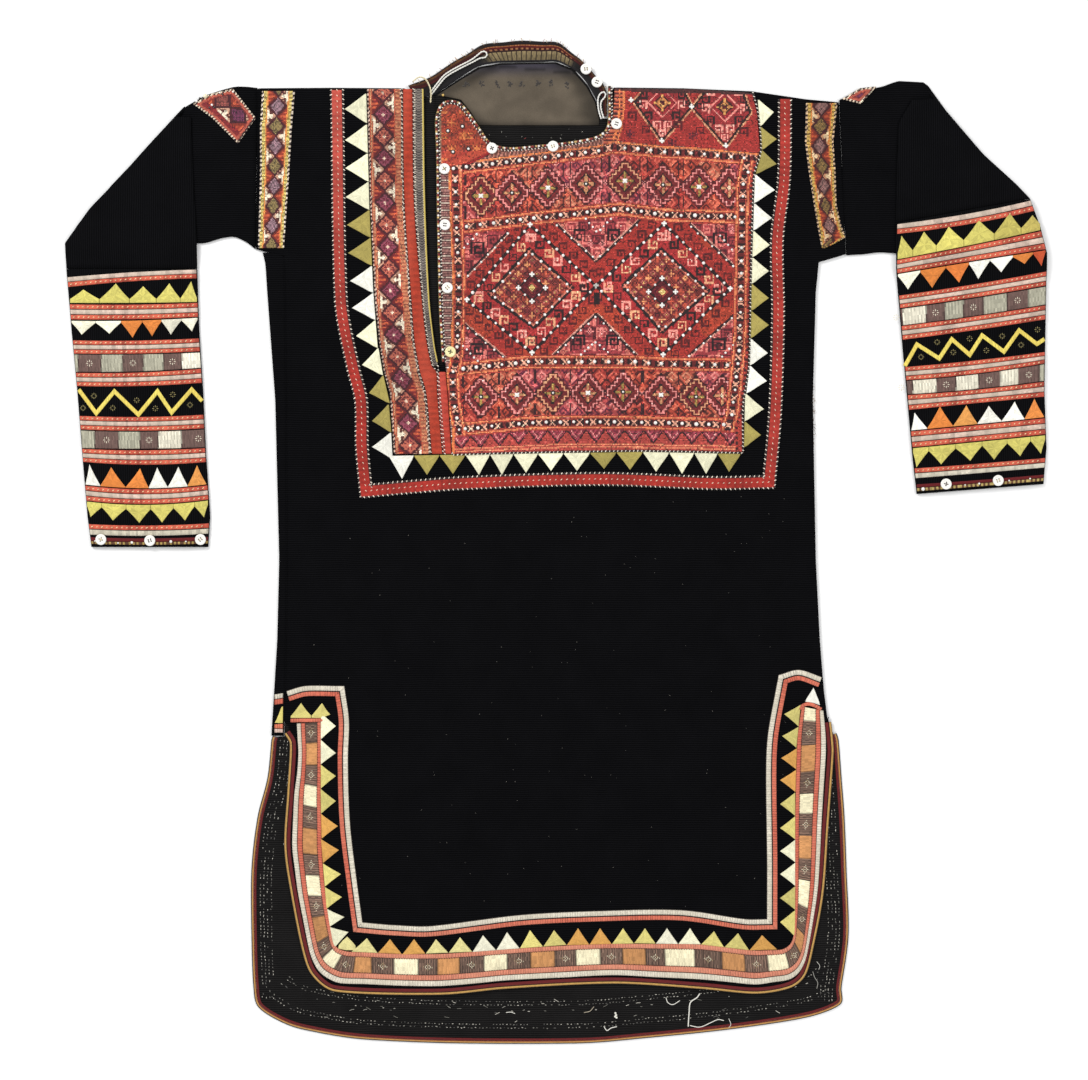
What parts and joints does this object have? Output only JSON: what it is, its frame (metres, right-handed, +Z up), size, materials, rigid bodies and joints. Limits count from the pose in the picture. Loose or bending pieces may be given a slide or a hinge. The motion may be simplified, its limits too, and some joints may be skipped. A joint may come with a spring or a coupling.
{
  "type": "embroidered tunic",
  "caption": "Long-sleeved black cotton tunic laid flat, with a densely embroidered chest panel, banded cuffs, an applied triangle and square hem, a side slit and shell buttons.",
  "frame": {"origin": "middle of the underside's bounding box, on the surface that the tunic lies on", "axes": "+X across the body towards the plain sleeve side at the right of the view, +Y from the hem to the neck, +Z up, out of the front panel"},
  "size_m": [0.982, 1.004, 0.0079],
  "materials": {
    "black_cotton": "matte ribbed hand-woven cotton",
    "bib_embroidery": "dense counted silk embroidery with glass beads",
    "strip_embroidery": "counted silk embroidery with whipped edges",
    "plain_red": "plain woven cotton strip",
    "braid": "black and white twill braid",
    "piping": "corded edge in gold, red and black",
    "lining": "worn plain cotton",
    "applique": "applied cotton triangles",
    "border_red": "applied cotton strip with whipped edges",
    "hem_strip": "applied cotton strips",
    "block_band": "applied cotton squares with small white motifs",
    "cuff_bands": "black cotton with applied bands and triangles",
    "collar": "black cotton stand with stitched inner edge",
    "shell_button": "polished four-hole shell",
    "white_cord": "white cotton cord",
    "cream_cord": "cream cotton cord"
  },
  "bodies": {
    "root": {"back_panel": "black_cotton", "back_hem_piping": "piping", "front_panel": "black_cotton", "front_hem_piping": "piping", "side_gore_left": "black_cotton", "sleeve_left": "black_cotton", "cuff_left": "cuff_bands", "sleeve_right": "black_cotton", "cuff_right": "cuff_bands", "collar_stand": "collar", "neck_lining": "lining", "neckline_binding": "piping", "bib_panel": "bib_embroidery", "strip_panel": "strip_embroidery", "plain_red_strip": "plain_red", "plain_red_strip_lower": "plain_red", "placket_braid": "braid", "bib_border": "border_red", "dogtooth_left": "applique", "dogtooth_bottom": "applique", "dogtooth_right": "applique", "shoulder_strip_left": "strip_embroidery", "shoulder_strip_right": "strip_embroidery", "sleeve_patch_left": "bib_embroidery", "sleeve_patch_right": "bib_embroidery", "hem_strip": "hem_strip", "hem_dogtooth": "applique", "hem_block_band": "block_band", "loop_cord_left": "white_cord", "loop_cord_cream": "cream_cord", "loop_cord_right": "white_cord", "button_01": "shell_button", "button_02": "shell_button", "button_03": "shell_button", "button_04": "shell_button", "button_05": "shell_button", "button_06": "shell_button", "button_07": "shell_button", "button_08": "shell_button", "button_09": "shell_button", "button_10": "shell_button", "button_11": "shell_button", "button_12": "shell_button", "button_13": "shell_button", "button_14": "shell_button"}
  },
  "joints": []
}
